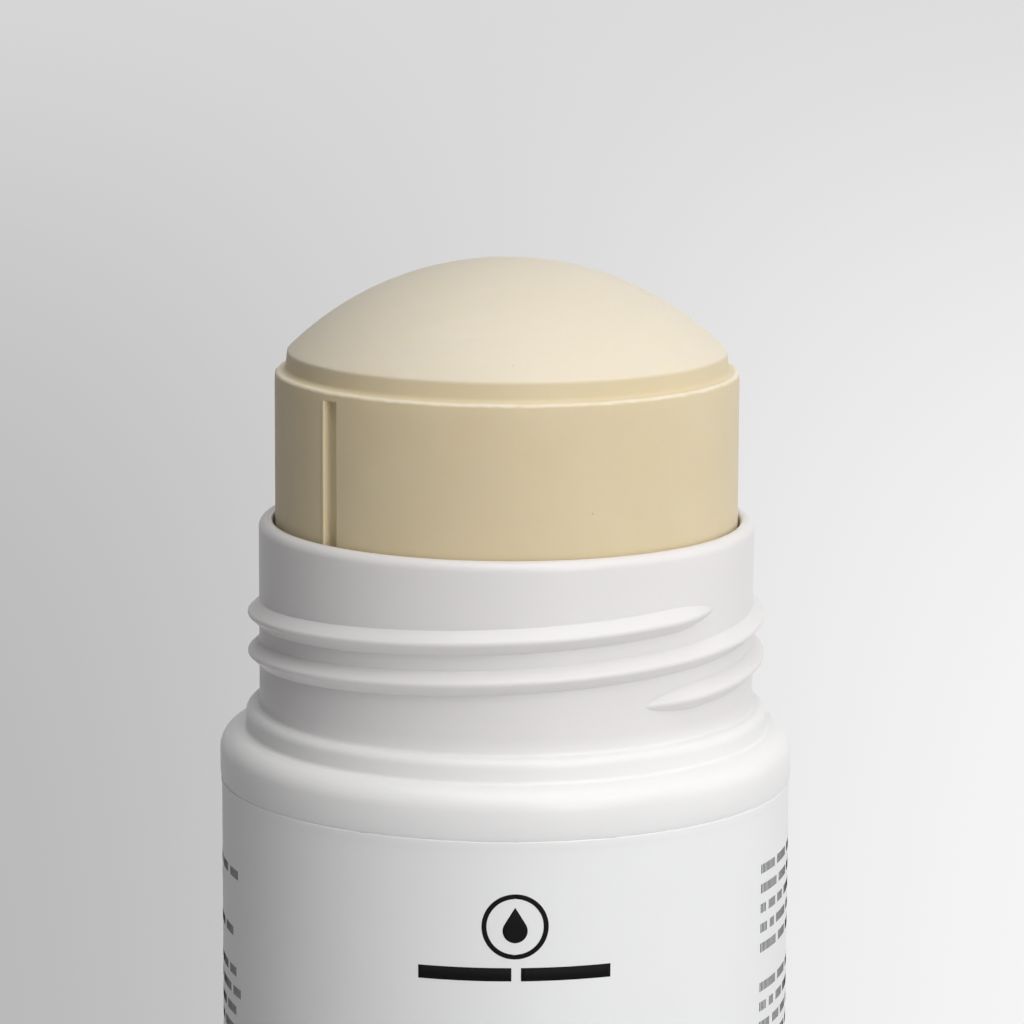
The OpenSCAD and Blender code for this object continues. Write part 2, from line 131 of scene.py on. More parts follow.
def solid(name, shell, sharp=35):
    """Object with smooth faces from a bmesh. Edges sharper than that angle stay crisp."""
    mesh = bpy.data.meshes.new(name)
    for face in shell.faces:
        face.smooth = True
    shell.to_mesh(mesh)
    shell.free()
    mesh.set_sharp_from_angle(angle=math.radians(sharp))
    piece = bpy.data.objects.new(name, mesh)
    bpy.context.scene.collection.objects.link(piece)
    return piece


def even(count):
    """Directions in equal steps all round."""
    return [i * 360 / count for i in range(count)]


def add(tree, kind, links=None, **settings):
    """Node of that kind with its settings. links gives each input a value, a socket, or a
    node whose first output it takes."""
    node = tree.nodes.new(kind)
    for name, value in settings.items():
        setattr(node, name, value)
    for key, source in (links or {}).items():
        if isinstance(source, bpy.types.Node):
            source = source.outputs[0]
        if isinstance(source, bpy.types.NodeSocket):
            tree.links.new(source, node.inputs[key])
        else:
            node.inputs[key].default_value = source
    return node


def node_group(name, sizes):
    """Geometry tree with a named input for each size, and the sockets that give them."""
    tree = bpy.data.node_groups.new(name, "GeometryNodeTree")
    tree.interface.new_socket("Geometry", in_out="INPUT", socket_type="NodeSocketGeometry")
    for size, kind in sizes.items():
        tree.interface.new_socket(size, in_out="INPUT", socket_type="NodeSocket" + kind)
    tree.interface.new_socket("Geometry", in_out="OUTPUT", socket_type="NodeSocketGeometry")
    return tree, add(tree, "NodeGroupInput").outputs


def grown(piece, tree, values):
    """The piece as a plain mesh, after the tree has worked on it with these input values."""
    modifier = piece.modifiers.new(tree.name, "NODES")
    modifier.node_group = tree
    inputs = [item for item in tree.interface.items_tree if item.in_out == "INPUT"]
    sockets = {item.name: item.identifier for item in inputs}
    for name, value in values.items():
        modifier[sockets[name]] = value
    bpy.context.view_layer.update()
    evaluated = piece.evaluated_get(bpy.context.evaluated_depsgraph_get())
    mesh = bpy.data.meshes.new_from_object(evaluated)
    piece.modifiers.remove(modifier)
    old = piece.data
    piece.data = mesh
    bpy.data.meshes.remove(old)
    mesh.name = piece.name
    return piece


def linear(colour):
    """Scene-linear colour from an sRGB hex colour."""
    channels = [int(colour[i:i + 2], 16) / 255 for i in (1, 3, 5)]
    return [c / 12.92 if c <= 0.04045 else ((c + 0.055) / 1.055) ** 2.4 for c in channels] + [1]


def material(name):
    """Empty material, its tree, its surface shader and the Object coordinates."""
    finish = bpy.data.materials.new(name)
    finish.use_nodes = True
    tree = finish.node_tree
    tree.nodes.clear()
    shader = add(tree, "ShaderNodeBsdfPrincipled")
    add(tree, "ShaderNodeOutputMaterial", {"Surface": shader})
    place = add(tree, "ShaderNodeTexCoord").outputs["Object"]
    return finish, tree, shader, place


def moulded(name, light, dark, roughness):
    """Injection-moulded polypropylene: the melt's flow clouds its white by a shade, and the
    skin shrinks into very shallow waves, so that reflections have soft uneven edges."""
    flow_cloud = 9 * MM
    shrink_wave = 7 * MM
    finish, tree, shader, place = material(name)
    flow = add(tree, "ShaderNodeTexNoise", {"Vector": place, "Scale": 1 / flow_cloud, "Detail": 2.0})
    tint = add(tree, "ShaderNodeMix", {0: flow, 6: linear(dark), 7: linear(light)}, data_type="RGBA")
    waves = add(tree, "ShaderNodeTexNoise", {"Vector": place, "Scale": 1 / shrink_wave, "Detail": 1.0})
    skin = add(tree, "ShaderNodeBump", {"Height": waves, "Strength": 0.003, "Distance": 1 * MM})
    tree.links.new(tint.outputs[2], shader.inputs["Base Color"])
    tree.links.new(skin.outputs[0], shader.inputs["Normal"])
    shader.inputs["Roughness"].default_value = roughness
    shader.inputs["IOR"].default_value = 1.49
    shader.inputs["Specular IOR Level"].default_value = 0.3
    shader.inputs["Subsurface Weight"].default_value = 0.15
    shader.inputs["Subsurface Radius"].default_value = (1, 0.85, 0.7)
    shader.inputs["Subsurface Scale"].default_value = 1.2 * MM
    return finish


white_gloss = moulded("injection_moulded_white_polypropylene", "#F5F4F3", "#F2F1F0", 0.3)

# Painted shade: above the collar the white is tinted a warmer, darker shade, standing in for the light
# that the neck's single wall lets through to the balm behind it.
shade_fade = 1.5 * MM
tree = white_gloss.node_tree
shader = tree.nodes["Principled BSDF"]
own_white = shader.inputs["Base Color"].links[0].from_socket
place = add(tree, "ShaderNodeTexCoord").outputs["Object"]
height = add(tree, "ShaderNodeSeparateXYZ", {0: place}).outputs["Z"]
painted_wall_shade = add(tree, "ShaderNodeMapRange", {
    "Value": height, "From Min": collar_z, "From Max": collar_z + shade_fade})
shaded = add(tree, "ShaderNodeMix", {0: painted_wall_shade, 6: own_white, 7: linear("#EBE8E7")}, data_type="RGBA")
tree.links.new(shaded.outputs[2], shader.inputs["Base Color"])

# The section goes down the outside, round the skirt and up the bore. Above the label the
# skirt runs in to the film's level, so that the film's edge shows.
rim_rounding = 0.8 * MM
collar_rounding = 0.75 * MM
shoulder_rounding = 1.85 * MM
foot_fillet = 0.3 * MM
run_in_h = 0.5 * MM
run_in_r = label_high.x - 0.01 * MM
barrel_section = rounded([
    (neck_r, rim_z, rim_rounding),
    (neck_r, collar_z, foot_fillet),
    (collar_r, collar_z, collar_rounding),
    (collar_r, shoulder_z, foot_fillet),
    (barrel_r, shoulder_z, shoulder_rounding),
    (barrel_r, panel_high + run_in_h, 0),
    (run_in_r, panel_high, 0),
    (panel_r, panel_high, 0),
    (panel_r, panel_low, 0),
    (barrel_r, panel_low, 0.02 * MM),
    (barrel_r, skirt_z, 0.4 * MM),
    (skirt_inner_r, skirt_z, 0.2 * MM),
    (skirt_inner_r, shoulder_z - shoulder_t, 1.5 * MM),
    (neck_r, shoulder_z - shoulder_t, 0.3 * MM),
    (neck_r, tube_z, 0),
    (bore_r, tube_z, 0),
    (bore_r, rim_z, 0.3 * MM)])
barrel_shell = turned("barrel_shell", barrel_section, even(480))
barrel_shell.data.materials.append(white_gloss)

# Copies of one piece in equal steps round the axis: thread starts, ribs, webs and grip
ring_of, size = node_group("ring_of_copies", {
    "Count": "Int", "First direction": "Float", "Material": "Material"})
steps = add(ring_of, "GeometryNodePoints", {"Count": size["Count"]})
turn = add(ring_of, "ShaderNodeMath", {
    0: add(ring_of, "GeometryNodeInputIndex"),
    1: add(ring_of, "ShaderNodeMath", {0: math.tau, 1: size["Count"]}, operation="DIVIDE"),
    2: size["First direction"]},
    operation="MULTIPLY_ADD")
copies = add(ring_of, "GeometryNodeInstanceOnPoints", {
    "Points": steps, "Instance": size["Geometry"],
    "Rotation": add(ring_of, "ShaderNodeCombineXYZ", {"Z": turn})})
add(ring_of, "NodeGroupOutput", {
    0: add(ring_of, "GeometryNodeSetMaterial", {
        "Geometry": add(ring_of, "GeometryNodeRealizeInstances", {"Geometry": copies}),
        "Material": size["Material"]})})

# The cap's thread, two starts: a straight bar with the ridge's section, which a tree winds
# round the neck. Its flanks touch the round crest, and its foot lies just under the skin.
thread_h = 1.0 * MM
thread_half_w = 1.075 * MM
thread_crest_r = 0.35 * MM
thread_sink = 0.3 * MM
thread_lead = 6.9 * MM
thread_low_z = shoulder_z + 5.65 * MM
thread_start = 31.6
thread_sweep = math.radians(384)
thread_run_out = math.radians(16)
thread_steps = 400
crest_centre = thread_h - thread_crest_r
flank = math.hypot(crest_centre, thread_half_w)
lean = math.atan2(thread_half_w, -crest_centre) - math.acos(thread_crest_r / flank)
foot_out = -0.005 * MM
foot_half_w = 1.6 * thread_half_w
ridge_fillet = 0.15 * MM
thread_section = rounded([
    (-thread_sink, -foot_half_w, 0),
    (foot_out, -foot_half_w, 0),
    (foot_out, -thread_half_w, ridge_fillet),
    (thread_half_w * math.tan(lean), 0, thread_crest_r),
    (foot_out, thread_half_w, ridge_fillet),
    (foot_out, foot_half_w, 0),
    (-thread_sink, foot_half_w, 0)], hold=0.03 * MM)
ridge = bmesh.new()
rings = []
for i in range(thread_steps + 1):
    along = thread_sweep * i / thread_steps
    rings.append([ridge.verts.new((along, out, up)) for out, up in thread_section])
for low, high in zip(rings, rings[1:]):
    for j in range(len(thread_section)):
        ridge.faces.new((low[j - 1], low[j], high[j], high[j - 1]))
ridge.faces.new(rings[0])
ridge.faces.new(rings[-1])
bmesh.ops.recalc_face_normals(ridge, faces=ridge.faces)
cap_thread = solid("cap_thread", ridge)

winding, size = node_group("wound_ridge", {
    "Radius": "Float", "Lower end": "Float", "Lead": "Float", "Sweep": "Float", "Run-out": "Float",
    "Sink": "Float", "Material": "Material"})
straight = add(winding, "GeometryNodeInputPosition")
along, out, up = add(winding, "ShaderNodeSeparateXYZ", {0: straight}).outputs
# Along its run-out the ridge grows out of the neck, from these shares of its height and
# width. At its ends it stands deeper, by nearly this share of Sink.
least_height = 0.1
least_width = 0.3
end_sink = 0.5
to_end = add(winding, "ShaderNodeMath", {
    0: along,
    1: add(winding, "ShaderNodeMath", {0: size["Sweep"], 1: along}, operation="SUBTRACT")},
    operation="MINIMUM")
near_end = add(winding, "ShaderNodeClamp", {
    0: add(winding, "ShaderNodeMath", {0: to_end, 1: size["Run-out"]}, operation="DIVIDE")})
grow = add(winding, "ShaderNodeMath", {
    0: add(winding, "ShaderNodeMath", {
        0: add(winding, "ShaderNodeMath", {0: near_end, 1: math.pi / 2}, operation="MULTIPLY")},
        operation="SINE"),
    1: least_height},
    operation="MAXIMUM")
drop = add(winding, "ShaderNodeMath", {
    0: add(winding, "ShaderNodeMath", {0: 1.0, 1: grow}, operation="SUBTRACT"),
    1: add(winding, "ShaderNodeMath", {0: size["Sink"], 1: -end_sink}, operation="MULTIPLY"),
    2: size["Radius"]},
    operation="MULTIPLY_ADD")
radius = add(winding, "ShaderNodeMath", {0: out, 1: grow, 2: drop}, operation="MULTIPLY_ADD")
climb = add(winding, "ShaderNodeMath", {
    0: along,
    1: add(winding, "ShaderNodeMath", {0: size["Lead"], 1: math.tau}, operation="DIVIDE"),
    2: size["Lower end"]},
    operation="MULTIPLY_ADD")
narrowing = add(winding, "ShaderNodeMath", {
    0: grow, 1: 1 - least_width, 2: least_width},
    operation="MULTIPLY_ADD")
height = add(winding, "ShaderNodeMath", {0: up, 1: narrowing, 2: climb}, operation="MULTIPLY_ADD")
front = add(winding, "ShaderNodeCombineXYZ", {
    "Y": add(winding, "ShaderNodeMath", {0: 0.0, 1: radius}, operation="SUBTRACT"),
    "Z": height})
wound = add(winding, "ShaderNodeVectorRotate", {"Vector": front, "Angle": along}, rotation_type="Z_AXIS")
neck_ridge = add(winding, "GeometryNodeSetPosition", {"Geometry": size["Geometry"], "Position": wound})
add(winding, "NodeGroupOutput", {
    0: add(winding, "GeometryNodeSetMaterial", {
        "Geometry": add(winding, "GeometryNodeRealizeInstances", {"Geometry": neck_ridge}),
        "Material": size["Material"]})})
grown(cap_thread, winding, {
    "Radius": neck_r, "Lower end": thread_low_z, "Lead": thread_lead, "Sweep": thread_sweep,
    "Run-out": thread_run_out, "Sink": thread_sink, "Material": white_gloss})
grown(cap_thread, ring_of, {
    "Count": 2, "First direction": math.radians(thread_start), "Material": white_gloss})


def block(name, low, high, edge=0.1 * MM):
    """Box between two corners, its edges rounded."""
    shell = bmesh.new()
    bmesh.ops.create_cube(shell, size=1)
    for vert in shell.verts:
        vert.co = Vector([(low[i] + high[i]) / 2 + vert.co[i] * (high[i] - low[i]) for i in range(3)])
    bmesh.ops.bevel(shell, geom=shell.edges[:], offset=edge, segments=2, profile=0.5, affect="EDGES")
    return solid(name, shell)


# Blocks stand in the front direction, which is -Y, before they are copied round. Their
# roots reach into the walls that they are moulded on.
root = 0.5 * MM
rib_angle = -47.4
rib_w = 1.3 * MM
rib_h = 0.75 * MM
rib_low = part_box("base_plate")[1].z + 0.3 * MM
rib_high = rim_z - 4.05 * MM
guide_ribs = block("guide_ribs", (-rib_w / 2, -bore_r - root, rib_low),
                   (rib_w / 2, -bore_r + rib_h, rib_high))
grown(guide_ribs, ring_of, {
    "Count": 2, "First direction": math.radians(rib_angle), "Material": white_gloss})
web_w = 1.0 * MM
web_low = tube_z + 2.4 * MM
web_high = tube_z + 8.4 * MM
centring_webs = block("centring_webs", (-web_w / 2, -skirt_inner_r - root, web_low),
                      (web_w / 2, -neck_r + root, web_high))
grown(centring_webs, ring_of, {
    "Count": 4, "First direction": math.radians(45), "Material": white_gloss})

for piece in (barrel_shell, cap_thread, guide_ribs, centring_webs):
    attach(piece, "barrel")
    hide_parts("barrel")


# Inner mouldings
# Base plate, spindle and carrier are moulded in undyed polypropylene, which is a little
# greyer and duller than the barrel. The CAD pieces stay as they are and take that finish.

natural_white = moulded("injection_moulded_natural_polypropylene", "#ECEBE6", "#E5E4DE", 0.35)
for node in ("base_plate", "spindle", "carrier"):
    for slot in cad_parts[node].material_slots:
        slot.material = natural_white


# Balm bar
# A solid of waxes and butters, poured from below against a domed seal, with its lower end
# keyed into the carrier. The dome keeps the seal's even skin, the step and shoulder broke
# off it and crumbled a little, and the guide ribs have drawn a groove down each side.

bar_low, bar_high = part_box("balm_bar")
bar_r = bore_r - 0.23 * MM
apex_z = bar_high.z
bar_z = rim_z + 13.05 * MM
disc_z = bar_z + 1.7 * MM
disc_foot_r = bar_r - 0.92 * MM
disc_top_r = disc_foot_r - 0.18 * MM
dome_r = 27.1 * MM
# The lower end leaves room for the carrier's nut and six anchor webs, and a blind bore in
# the bar takes the spindle.
foot_r = bore_r - 1.4 * MM
cup_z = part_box("carrier")[1].z
nut_room_r = 6.85 * MM
nut_room_z = bar_low.z + 4.5 * MM
web_room_z = bar_low.z + 3.5 * MM
web_room_half = 5.2
bar_bore_r = 4.85 * MM
bar_bore_z = rim_z + 11.25 * MM
groove_half_w = 0.8 * MM
groove_depth = 0.67 * MM
groove_z = rim_z + 12.2 * MM
groove_directions = [rib_angle, rib_angle + 180]
web_directions = [30 + 60 * i for i in range(6)]


def smooth_step(value, low, high):
    """0 below low, 1 above high and a smooth ramp between them. low may be above high."""
    share = min(1, max(0, (value - low) / (high - low)))
    return share * share * (3 - 2 * share)


def angle_from(direction, centre):
    """Signed angle from a centre direction, in degrees."""
    return (direction - centre + 180) % 360 - 180


def lump(direction, height, step, seed):
    """Unevenness between -1 and 1 whose lumps are about step across on the bar's side."""
    turn = math.radians(direction)
    spot = Vector((bar_r * math.sin(turn), bar_r * math.cos(turn), height)) / step
    return noise.noise(spot + Vector((0, 0, seed)))


# Irregular traces of the mould and of use: crumbs, waves and the burr beside the groove
crumb_low = bar_z - 1.2 * MM
crumb_depth = 0.05 * MM
crumb_rise = 0.09 * MM
lip_wave = 0.03 * MM
side_wave = 0.012 * MM
burr_h = 0.06 * MM
burr_w = 0.14 * MM


def cast_surface(direction, radius, height):
    """Real radius and height of a point on the cast bar."""
    if height < cup_z:
        if radius > bar_bore_r and height < bar_low.z + 0.2 * MM:
            for centre in web_directions:
                if abs(angle_from(direction, centre)) < web_room_half:
                    height = web_room_z
        return radius, height
    if height > crumb_low and height < disc_z - 0.3 * MM and radius > disc_foot_r - 0.1 * MM:
        # The shoulder's edge crumbled where it left the seal.
        crumb = 0.55 * lump(direction, height, 2.6 * MM, 3) + 0.45 * lump(direction, height, 0.8 * MM, 9)
        edge = smooth_step(radius, bar_r - 0.8 * MM, bar_r - 0.1 * MM)
        edge *= smooth_step(height, crumb_low, bar_z - 0.3 * MM)
        radius += (crumb_depth * crumb - 0.04 * MM) * edge
        height += (crumb_rise * crumb - 0.03 * MM) * edge
    elif radius > disc_top_r - 0.6 * MM and height > bar_z:
        # The dome's lip is soft and slightly wavy.
        radius += lip_wave * lump(direction, height, 3 * MM, 21)
        height += lip_wave * lump(direction, height, 2 * MM, 5)
    elif radius > bar_r - 0.02 * MM:
        radius += side_wave * lump(direction, height, 5 * MM, 33)
    if radius > bar_r - 0.5 * MM and height < groove_z + 0.1 * MM:
        for centre in groove_directions:
            aside = math.sin(math.radians(angle_from(direction, centre))) * bar_r
            if abs(aside) < 1.6 * MM and abs(angle_from(direction, centre)) < 90:
                cut = smooth_step(height, groove_z + 0.06 * MM, groove_z - 0.04 * MM)
                # The rib pushed the lip on the left up into a soft burr.
                left = smooth_step(aside, -groove_half_w - 0.02 * MM, -groove_half_w + 0.13 * MM)
                right = smooth_step(aside, groove_half_w, groove_half_w - 0.07 * MM)
                burr = math.exp(-((aside + groove_half_w + burr_w) / burr_w) ** 2)
                burr *= burr_h * (0.8 + 0.5 * lump(direction, height, 1.5 * MM, 47))
                radius += burr * cut - groove_depth * cut * left * right
    return radius, height


# The columns lie close together where a groove's walls stand.
groove_steps = [-4.4, -4.0, -3.7, -3.4, -3.2, -3.0, -2.85, -2.7, -2.6, -2.5, -2.42, -2.34, -2.27, -2.2,
                -2.12, -2.04, -1.96, -1.8, -1.2, -0.6, 0, 0.6, 1.2, 1.7, 1.95, 2.06, 2.1, 2.14, 2.18,
                2.22, 2.26, 2.3, 2.4, 2.6, 3.0, 3.5, 4.0, 4.4]
bar_directions = {round((centre + step) % 360, 3) for centre in groove_directions for step in groove_steps}
bar_directions |= {round((centre + side * (web_room_half + gap)) % 360, 3)
                   for centre in web_directions for side in (-1, 1) for gap in (-0.03, 0.03)}
bar_directions |= {d for d in even(480) if all(abs(angle_from(d, c)) > 4.6 for c in groove_directions)}
bar_directions = sorted(bar_directions)

dome_rows = 56
dome_edge_r = disc_top_r - 0.4 * MM
dome_radii = [dome_edge_r * i / dome_rows for i in range(dome_rows + 1)]
dome_points = [(r, apex_z - dome_r + math.sqrt(dome_r ** 2 - r ** 2), 0) for r in dome_radii]
side_rows = [groove_z + offset * MM for offset in (0.3, 0.12, 0.07, 0.045, 0.02, 0, -0.02, -0.05, -0.2)]
side_rows += [groove_z - (1 + i) * MM for i in range(int((groove_z - cup_z) / MM) - 1)]
bar_section = rounded(
    dome_points
    + [(disc_top_r, disc_z, 0.4 * MM),
       (disc_foot_r, bar_z, 0.4 * MM),
       (bar_r, bar_z, 0.33 * MM)]
    + [(bar_r, z, 0) for z in side_rows]
    + [(bar_r, cup_z + 0.05 * MM, 0),
       (foot_r, cup_z + 0.05 * MM, 0),
       (foot_r, bar_low.z, 0),
       (nut_room_r, bar_low.z, 0),
       (nut_room_r, nut_room_z, 0),
       (bar_bore_r, nut_room_z, 0),
       (bar_bore_r, bar_bore_z, 0),
       (0, bar_bore_z, 0)], hold=0.06 * MM)
balm_solid = turned("balm_solid", bar_section, bar_directions, closed=False, surface=cast_surface)

# How far the wax is scraped white is kept with each point.
scraped = balm_solid.data.attributes.new("scraped", "FLOAT", "POINT")
for vert in balm_solid.data.vertices:
    spot = vert.co
    direction = math.degrees(math.atan2(spot.x, -spot.y))
    radius = math.hypot(spot.x, spot.y)
    ragged = lump(direction, spot.z, 0.9 * MM, 61)
    ring = smooth_step(radius, bar_r - 0.55 * MM, bar_r - 0.3 * MM)
    ring *= smooth_step(spot.z, bar_z - (0.28 + 0.12 * ragged) * MM, bar_z - (0.1 + 0.1 * ragged) * MM)
    scraped.data[vert.index].value = ring * (0.75 + 0.25 * lump(direction, 0, 3 * MM, 71))

# Cast wax balm is soft and nearly dull. Light goes a little way into it, which warms its
# shaded side and takes the edge off the groove.
cloud_w = 6 * MM
streak_w = 9 * MM
speck_gap = 3.6 * MM
pore_w = 0.25 * MM
dimple_w = 3 * MM
cast_balm, tree, shader, place = material("cast_wax_balm")
# The waxes set in faint clouds some millimetres wide.
clouds = add(tree, "ShaderNodeTexNoise", {"Vector": place, "Scale": 1 / cloud_w, "Detail": 3.0})
body_tint = add(tree, "ShaderNodeMix", {
    0: clouds, 6: linear("#DECDAA"), 7: linear("#E2D4B3")},
    data_type="RGBA").outputs[2]
# Painted sheen: the dome is tinted paler than the side, standing in for the whiter light and sheen on its
# top.
height = add(tree, "ShaderNodeSeparateXYZ", {0: place}).outputs["Z"]
on_dome = add(tree, "ShaderNodeMapRange", {
    "Value": height, "From Min": disc_z - 0.3 * MM, "From Max": disc_z + 0.1 * MM})
dome_painted_sheen = add(tree, "ShaderNodeMix", {
    0: clouds, 6: linear("#E9DEC8"), 7: linear("#EBE1CD")},
    data_type="RGBA").outputs[2]
body_and_painted_sheen = add(tree, "ShaderNodeMix", {
    0: on_dome, 6: body_tint, 7: dome_painted_sheen},
    data_type="RGBA").outputs[2]
# Streaks where the balm was touched, drawn out along the dome
streak_place = add(tree, "ShaderNodeMapping", {
    "Vector": place, "Rotation": (0.4, 0.2, 0.6), "Scale": (1, 3.2, 3.2)})
streaks = add(tree, "ShaderNodeTexNoise", {
    "Vector": streak_place, "Scale": 1 / streak_w, "Detail": 4.0, "Distortion": 0.6})
streak_mask = add(tree, "ShaderNodeMapRange", {
    "Value": streaks, "From Min": 0.56, "From Max": 0.72, "To Max": 0.22})
dome_streaks = add(tree, "ShaderNodeMath", {0: streak_mask, 1: on_dome}, operation="MULTIPLY")
smeared = add(tree, "ShaderNodeMix", {
    0: dome_streaks, 6: body_and_painted_sheen, 7: linear("#EFE8DA")},
    data_type="RGBA").outputs[2]
# Scraped wax is full of tiny cracks and looks whiter.
scraped_at = add(tree, "ShaderNodeAttribute", attribute_name="scraped").outputs["Fac"]
whitened = add(tree, "ShaderNodeMix", {
    0: scraped_at, 6: smeared, 7: linear("#F1EADA")},
    data_type="RGBA").outputs[2]
# A few specks of ground filler, about 0.15 mm across
specks = add(tree, "ShaderNodeTexVoronoi", {"Vector": place, "Scale": 1 / speck_gap})
speck_mask = add(tree, "ShaderNodeMapRange", {
    "Value": specks, "From Min": 0.035, "From Max": 0.02, "To Max": 0.6})
speckled = add(tree, "ShaderNodeMix", {
    0: speck_mask, 6: whitened, 7: linear("#9C8862")},
    data_type="RGBA").outputs[2]
tree.links.new(speckled, shader.inputs["Base Color"])
pores = add(tree, "ShaderNodeTexNoise", {"Vector": place, "Scale": 1 / pore_w, "Detail": 3.0})
dimples = add(tree, "ShaderNodeTexNoise", {"Vector": place, "Scale": 1 / dimple_w, "Detail": 2.0})
relief = add(tree, "ShaderNodeMath", {0: dimples, 1: 4.0, 2: pores}, operation="MULTIPLY_ADD")
skin = add(tree, "ShaderNodeBump", {"Height": relief, "Strength": 0.1, "Distance": 0.05 * MM})
tree.links.new(skin.outputs[0], shader.inputs["Normal"])
shader.inputs["Roughness"].default_value = 0.5
shader.inputs["IOR"].default_value = 1.44
shader.inputs["Specular IOR Level"].default_value = 0.3
shader.inputs["Subsurface Weight"].default_value = 0.5
shader.inputs["Subsurface Radius"].default_value = (1, 0.75, 0.4)
shader.inputs["Subsurface Scale"].default_value = 0.4 * MM

balm_solid.data.materials.append(cast_balm)
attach(balm_solid, "bar")
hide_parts("balm_bar")


# Hand wheel
# The dial that winds the stick, moulded in the barrel's own white. It snaps onto the
# spindle's square foot. Sixty ribs give the fingers their grip, and a ring inside the
# skirt centres it.

wheel_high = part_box("hand_wheel")[1]
grip_r = 0.55 * MM
grip_gap = 1 * MM
wall_r = wheel_high.x - grip_r
wall_t = 1.6 * MM
wheel_top = skirt_z - 0.4 * MM
step_z = wheel_top - 1.5 * MM
floor_t = 1.6 * MM
recess_h = 0.6 * MM
ring_r = skirt_inner_r - 0.3 * MM
ring_inner_r = ring_r - 1.1 * MM
hub_r = 5.1 * MM
hub_z = tube_z - 1.75 * MM
socket_r = 3.6 * MM
socket_z = 5.75 * MM
foot_ring_r = wall_r - 4 * MM
wheel_shell = turned("wheel_shell", rounded([
    (foot_ring_r, recess_h, 0.1 * MM),
    (foot_ring_r, 0, 0.1 * MM),
    (wall_r, 0, 0.6 * MM),
    (wall_r, wheel_top, 0.1 * MM),
    (ring_r, wheel_top, 0.1 * MM),
    (ring_r, wheel_high.z, 0.4 * MM),
    (ring_inner_r, wheel_high.z, 0.1 * MM),
    (ring_inner_r, step_z, 0),
    (wall_r - wall_t, step_z, 0),
    (wall_r - wall_t, floor_t, 0.3 * MM),
    (hub_r, floor_t, 0.3 * MM),
    (hub_r, hub_z, 0.1 * MM),
    (socket_r, hub_z, 0.1 * MM),
    (socket_r, socket_z, 0),
    (0, socket_z, 0),
    (0, recess_h, 0)]), even(360), closed=False)
wheel_shell.data.materials.append(white_gloss)

# Each grip rib is half sunk in the wall and ends a little short of it, with rounded ends.
grip_count = 60
rib = bmesh.new()
bmesh.ops.create_cone(rib, cap_ends=True, segments=20, radius1=grip_r, radius2=grip_r,
                      depth=wheel_top - 2 * grip_gap)
bmesh.ops.bevel(rib, geom=[edge for edge in rib.edges if len({vert.co.z > 0 for vert in edge.verts}) == 1],
                offset=0.2 * MM, segments=3, profile=0.5, affect="EDGES")
bmesh.ops.translate(rib, verts=rib.verts, vec=(0, -wall_r, wheel_top / 2))
grip_ribs = grown(solid("grip_ribs", rib), ring_of, {
    "Count": grip_count, "First direction": math.radians(90), "Material": white_gloss})
hub_web_w = 1.2 * MM
hub_web_h = 4 * MM
hub_root = 0.3 * MM
hub_webs = block("hub_webs", (-hub_web_w / 2, -wall_r + wall_t - hub_root, floor_t - hub_root),
                 (hub_web_w / 2, -hub_r + hub_root, floor_t + hub_web_h))
grown(hub_webs, ring_of, {"Count": 4, "First direction": math.radians(45), "Material": white_gloss})

for piece in (wheel_shell, grip_ribs, hub_webs):
    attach(piece, "wheel")
    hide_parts("hand_wheel")


# Label
# White polypropylene film, die cut, printed black and wrapped round the recessed panel
# with its lap at the back. The film is smooth but duller than the barrel. Its print is
# plain shapes: a drop in a ring over two bars, and fields of strokes at both sides.

film_r = label_high.x
film_t = label_high.y - label_high.x
lap_w = 7 * MM
lap_half = math.degrees(lap_w / 2 / film_r)
edge_proud = 0.06 * MM
nick_depth = 0.07 * MM
nick_directions = (-28.6, 2.3, 21.0)


def film_surface(direction, radius, height):
    """The film's real radius and height, with its lap at the back and its die-cut edge, which
    stands off a little and has small nicks."""
    if radius > film_r - film_t / 2 and abs(angle_from(direction, 180)) < lap_half:
        radius += film_t
    elif radius > film_r - film_t / 2:
        depth = label_high.z - height
        radius += edge_proud * smooth_step(depth, 0, 0.1 * MM) * smooth_step(depth, 1.2 * MM, 0.2 * MM)
    if height > label_high.z - 0.06 * MM:
        height -= 0.01 * MM * (1 + lump(direction, 0, 1.2 * MM, 80))
        for nick in nick_directions:
            height -= nick_depth * math.exp(-(angle_from(direction, nick) / 0.5) ** 2)
    return radius, height


# The rows lie close together where the edge stands off.
edge_rows = (0.02, 0.04, 0.06, 0.08, 0.1, 0.15, 0.2, 0.4, 0.6, 0.8, 1.0, 1.2)
film_bands = 24
band_h = (label_high.z - label_low.z) / film_bands
film_rows = [label_high.z - depth * MM for depth in edge_rows]
film_rows += [label_high.z - i * band_h for i in range(1, film_bands)]
label_film = turned("label_film", rounded(
    [(film_r, label_high.z, 0)]
    + [(film_r, z, 0) for z in film_rows]
    + [(film_r, label_low.z, 0.04 * MM),
       (film_r - film_t, label_low.z, 0),
       (film_r - film_t, label_high.z, 0)], steps=3, hold=0.03 * MM), even(720), surface=film_surface)

# Calendered polypropylene film has the rolls' fine satin grain and an almost even white.
roll_cloud = 7 * MM
satin_grain = 0.35 * MM
printed_film, tree, shader, place = material("calendered_polypropylene_film")
cloud = add(tree, "ShaderNodeTexNoise", {"Vector": place, "Scale": 1 / roll_cloud, "Detail": 2.0})
tint = add(tree, "ShaderNodeMix", {0: cloud, 6: linear("#F4F4F4"), 7: linear("#F7F7F7")}, data_type="RGBA")
grain = add(tree, "ShaderNodeTexNoise", {"Vector": place, "Scale": 1 / satin_grain, "Detail": 2.0})
skin = add(tree, "ShaderNodeBump", {"Height": grain, "Strength": 0.05, "Distance": 0.02 * MM})
tree.links.new(tint.outputs[2], shader.inputs["Base Color"])
tree.links.new(skin.outputs[0], shader.inputs["Normal"])
shader.inputs["Roughness"].default_value = 0.42
shader.inputs["IOR"].default_value = 1.49
shader.inputs["Subsurface Weight"].default_value = 0.1
shader.inputs["Subsurface Radius"].default_value = (1, 0.9, 0.8)
